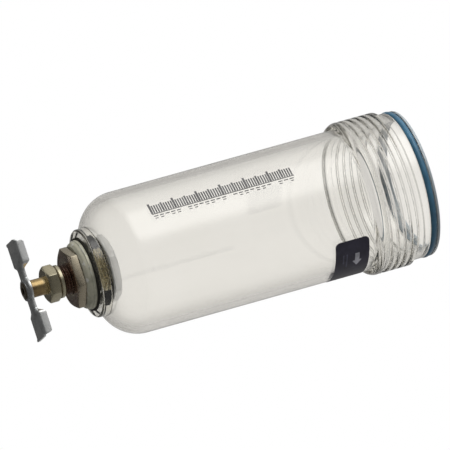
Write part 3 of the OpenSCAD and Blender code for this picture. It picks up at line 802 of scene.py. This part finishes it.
def make_handle():
    """Pressed sheet: a flat web with rolled-up edges, deep along the wings and shallow along the necks and eye, open at the ends."""
    half_l, wing_w, neck, eye, t = 22.1, 6.4, 2.7, 5.5, 1.2
    x0 = half_l - 11.5
    z_out = low("t_handle")
    deep, shallow = high("t_handle") - z_out, 2.2
    a0 = math.asin(neck / eye)
    side = [(eye * math.cos(a0), -neck), (x0 - 1.5, -neck), (x0 + 0.2, -wing_w), (half_l, -wing_w), (half_l, wing_w), (x0 + 0.2, wing_w),
            (x0 - 1.5, neck), (eye * math.cos(a0), neck)]
    rad = [1.6, 1.2, 1.4, 1.3, 1.3, 1.4, 1.2, 1.6]
    arc = [(eye * math.cos(a0 + (math.pi - 2 * a0) * k / 16), eye * math.sin(a0 + (math.pi - 2 * a0) * k / 16)) for k in range(1, 16)]
    pts = side + arc + [(-x, -y) for x, y in side] + [(-x, -y) for x, y in arc]
    rads = rad + [0] * len(arc) + rad + [0] * len(arc)
    line = [tuple(p) for p in fillet(pts, rads, 6)]
    line = [p for i, p in enumerate(line) if math.dist(p, line[i - 1]) > 0.02]
    line = np.array(dense(line, 0.7))
    n = len(line)
    nxt, prv = np.roll(line, -1, 0), np.roll(line, 1, 0)
    tan = nxt - prv
    tan /= np.linalg.norm(tan, axis=1)[:, None]
    nor = np.stack([-tan[:, 1], tan[:, 0]], 1)  # inwards for a counter-clockwise outline
    for _ in range(2):
        nor = (np.roll(nor, 1, 0) + nor * 2 + np.roll(nor, -1, 0)) / 4
        nor /= np.linalg.norm(nor, axis=1)[:, None]
    ax = np.abs(line[:, 0])
    rise = smooth(ax, x0 - 1.7, x0 + 1.2)
    height = shallow + (deep - shallow) * rise
    height = height * (1 - smooth(ax, half_l - 1.7, half_l - 0.12))
    end = height < 0.02
    height[end] = 0.0
    b = np.minimum(1.7, height * 0.72)
    flanged = smooth(height, 0.0, 1.6)

    def at(inset, z):
        inset, z = np.broadcast_to(inset, (n,)), np.broadcast_to(z, (n,))
        p = line + nor * inset[:, None]
        return np.stack([p[:, 0], p[:, 1], z_out + z], 1)

    outer, inner, steps = [], [], 6
    lip = 0.14
    edge_in = 0.10 * (1 - flanged)
    for k in range(steps + 1):
        a = math.pi / 2 * k / steps
        outer.append(at(b * (1 - math.sin(a)) + 0.0, b * (1 - math.cos(a)) + edge_in * 0.0))
    top = np.maximum(height, t)
    outer.append(at(0.0, np.maximum(b, (height - lip)) * flanged + (t * 0.12) * (1 - flanged)))
    outer.append(at(0.0, (top - lip)))
    outer.append(at(lip, top))
    ri = np.maximum(b - t, 0.25)
    inner_line = t * flanged + lip * (1 - flanged) * 1.0
    inner.append(at(inner_line - lip * flanged, top))
    inner.append(at(t * flanged + (lip + 0.02) * (1 - flanged), np.maximum(top - lip * flanged, t)))
    for k in range(steps, -1, -1):
        a = math.pi / 2 * k / steps
        inset = (t + ri * (1 - math.sin(a))) * flanged + (lip + 0.04 + 0.3 * (1 - k / steps)) * (1 - flanged)
        z = t + ri * (1 - math.cos(a)) * flanged
        inner.append(at(inset, np.minimum(z, np.maximum(top - lip * flanged, t))))
    rings = outer + inner
    v, f = stitch(rings)
    seg = 64
    ang = np.arange(seg) * TAU / seg
    hole = [circle_ring(3.25, z_out, ang), circle_ring(2.97, z_out + 0.25, ang), circle_ring(2.95, z_out + t - 0.1, ang), circle_ring(3.1, z_out + t, ang)]
    hv, hf = stitch(hole)
    base = len(v)
    v += hv
    f += [tuple(i + base for i in q) for q in hf]
    mesh = bpy.data.meshes.new("t")
    bm = bmesh.new()
    vs = [bm.verts.new(tuple(p)) for p in v]
    for q in f:
        try:
            bm.faces.new([vs[i] for i in q])
        except ValueError:
            pass
    # flat web, outside and inside, between the rolled edge and the hole
    for first, hole_first in ((0, base), (n * (len(rings) - 1), base + seg * 3)):
        loop_a = [vs[first + i] for i in range(n)]
        loop_b = [vs[hole_first + i] for i in range(seg)]
        edges = []
        for loop in (loop_a, loop_b):
            for i in range(len(loop)):
                e = bm.edges.get((loop[i - 1], loop[i])) or bm.edges.new((loop[i - 1], loop[i]))
                edges.append(e)
        bmesh.ops.triangle_fill(bm, use_beauty=True, use_dissolve=False, edges=edges)
    turn = Matrix.Rotation(math.radians(-8.6), 4, "Z")
    bmesh.ops.transform(bm, matrix=turn, verts=bm.verts)
    bmesh.ops.scale(bm, vec=(MM, MM, MM), verts=bm.verts)
    bmesh.ops.remove_doubles(bm, verts=bm.verts, dist=2e-6)
    bmesh.ops.dissolve_degenerate(bm, edges=bm.edges, dist=1e-6)
    bmesh.ops.recalc_face_normals(bm, faces=bm.faces)
    bm.to_mesh(mesh)
    bm.free()
    mesh.name = "pressed_t_handle"
    mesh.shade_smooth()
    mesh.set_sharp_from_angle(angle=math.radians(36))
    ob = bpy.data.objects.new("pressed_t_handle", mesh)
    scene.collection.objects.link(ob)
    mesh.materials.append(M_HANDLE)
    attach(ob, "stem_group")
    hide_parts("t_handle")


make_gasket()
make_flange()
make_bushing()
make_inside_stack()
make_cock()
make_stem()
make_handle_washer()
make_handle()

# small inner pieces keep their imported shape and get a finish
for name, mat in (("valve_seat", M_COCK), ("seat_disc", M_PTFE), ("seat_screw", M_STEEL), ("stem_thrust_ring", M_PTFE),
                  ("stem_o_ring", M_BLACK), ("stem_backup_ring", M_PTFE)):
    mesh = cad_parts[name].data
    mesh.materials.clear()
    mesh.materials.append(mat)


# ---------------------------------------------------------------- floor, world and lights
def stage():
    m, nt, out = new_material("pale_floor")
    p = node(nt, "ShaderNodeBsdfPrincipled", Roughness=0.7)
    v = coords(nt)
    lp = nt.nodes.new("ShaderNodeLightPath")
    pale = ramp(nt, noise(nt, v, 1.5, 4), [(0.3, (0.80, 0.80, 0.80)), (0.7, (0.84, 0.84, 0.835))])
    # painted dark reflection: in first glossy reflections the floor turns dark grey, shading the undersides of polished
    # parts
    first = maths(nt, "MULTIPLY", lp.outputs["Is Glossy Ray"], maths(nt, "LESS_THAN", lp.outputs["Ray Depth"], 1.5))
    nt.links.new(mix_colour(nt, first, pale, (0.19, 0.19, 0.19)), p.inputs["Base Color"])
    glow = node(nt, "ShaderNodeEmission", Strength=0.70)  # as bright through the plastic as the wall behind
    glow.inputs["Color"].default_value = (1.0, 0.975, 0.935, 1)
    both = nt.nodes.new("ShaderNodeMixShader")
    nt.links.new(lp.outputs["Is Transmission Ray"], both.inputs[0])
    nt.links.new(p.outputs[0], both.inputs[1])
    nt.links.new(glow.outputs[0], both.inputs[2])
    nt.links.new(both.outputs[0], out.inputs["Surface"])
    mesh = bpy.data.meshes.new("floor")
    s, z = 90.0, -9.6
    mesh.from_pydata([(-s, -s, z), (s, -s, z), (s, s, z), (-s, s, z)], [], [(0, 1, 2, 3)])
    mesh.materials.append(m)
    ob = bpy.data.objects.new("floor", mesh)
    scene.collection.objects.link(ob)


def studio():
    w = bpy.data.worlds.new("studio")
    scene.world = w
    w.use_nodes = True
    nt = w.node_tree
    nt.nodes.clear()
    out = nt.nodes.new("ShaderNodeOutputWorld")
    lp = nt.nodes.new("ShaderNodeLightPath")
    tc = nt.nodes.new("ShaderNodeTexCoord")

    def lobe(direction, lo, hi):
        d = nt.nodes.new("ShaderNodeVectorMath")
        d.operation = "DOT_PRODUCT"
        nt.links.new(tc.outputs["Generated"], d.inputs[0])
        d.inputs[1].default_value = tuple(direction)
        m = nt.nodes.new("ShaderNodeMapRange")
        m.interpolation_type = "SMOOTHSTEP"
        m.inputs["From Min"].default_value = lo
        m.inputs["From Max"].default_value = hi
        nt.links.new(d.outputs["Value"], m.inputs["Value"])
        return m.outputs["Result"]

    def background(colour, strength):
        b = nt.nodes.new("ShaderNodeBackground")
        b.inputs[0].default_value = (*colour, 1)
        if isinstance(strength, (int, float)):
            b.inputs[1].default_value = strength
        else:
            nt.links.new(strength, b.inputs[1])
        return b.outputs[0]

    def mix(fac, a, b):
        m = nt.nodes.new("ShaderNodeMixShader")
        nt.links.new(fac, m.inputs[0])
        nt.links.new(a, m.inputs[1])
        nt.links.new(b, m.inputs[2])
        return m.outputs[0]

    def add(a, b, k=1.0):
        return maths(nt, "ADD", a, maths(nt, "MULTIPLY", b, k))

    sky = Vector((-0.923, -0.247, 0.292))
    window = Vector((-0.783, -0.548, 0.292))
    sep = nt.nodes.new("ShaderNodeSeparateXYZ")
    nt.links.new(tc.outputs["Generated"], sep.inputs[0])
    above = remap(nt, sep.outputs[2], 0.10, 1.0, -0.16, 0.14)  # least towards -Z, where the room is dark
    high_side = lobe(sky, 0.45, 0.88)
    glow = lobe(window, 0.84, 0.975)
    behind = lobe(-BACK, 0.30, 0.92)
    below = lobe(Vector((0.95, -0.1, 0.1)), 0.2, 0.9)
    # what polished faces reflect
    g = add(add(add(add(0.17, high_side, 0.58), glow, 1.15), behind, 0.16), below, 0.10)
    g = maths(nt, "MULTIPLY", g, above)
    # what is seen through the plastic
    upper_back = lobe(Vector((-0.62, 0.73, 0.292)), 0.80, 1.0)
    t = add(add(add(0.71, lobe(-BACK, 0.94, 0.9985), 0.22), high_side, 0.16), upper_back, -0.13)
    # soft light on dull faces
    soft = add(add(add(0.08, lobe(sky, -0.1, 0.95), 0.75), behind, 0.06), below, 0.12)
    warm = (1.0, 0.975, 0.935)
    shader = mix(lp.outputs["Is Glossy Ray"], background((1, 0.99, 0.97), soft), background((1.0, 0.99, 0.96), g))
    shader = mix(lp.outputs["Is Transmission Ray"], shader, background(warm, t))
    shader = mix(lp.outputs["Is Camera Ray"], shader, background((1, 1, 1), 1.0))
    nt.links.new(shader, out.inputs["Surface"])


def area(name, direction, distance, size, power, colour=(1, 1, 1), size_y=None):
    d = bpy.data.lights.new(name, "AREA")
    d.energy, d.size, d.color = power, size, colour
    if size_y:
        d.shape, d.size_y = "RECTANGLE", size_y
    ob = bpy.data.objects.new(name, d)
    scene.collection.objects.link(ob)
    at = Vector((0, 0, -0.09)) + Vector(direction).normalized() * distance
    ob.location = at
    ob.rotation_euler = (at - Vector((0, 0, -0.09))).to_track_quat("Z", "Y").to_euler()
    ob.visible_glossy = False
    ob.visible_transmission = False
    return ob


stage()
studio()
area("key", Vector((-0.92, -0.30, 0.24)), 1.2, 0.7, 9.0, (1, 0.985, 0.95))
area("fill", BACK * 0.9 - UP * 0.5 + RIGHT * 0.3, 1.8, 0.8, 1.0, (0.97, 0.98, 1))

scene.view_settings.view_transform = "Standard"
scene.view_settings.look = "None"
scene.cycles.max_bounces = 24
scene.cycles.transmission_bounces = 20
scene.cycles.glossy_bounces = 8
scene.cycles.diffuse_bounces = 4
scene.cycles.transparent_max_bounces = 24
scene.cycles.caustics_reflective = False
scene.cycles.caustics_refractive = False
scene.cycles.sample_clamp_indirect = 6.0
scene.cycles.use_denoising = True
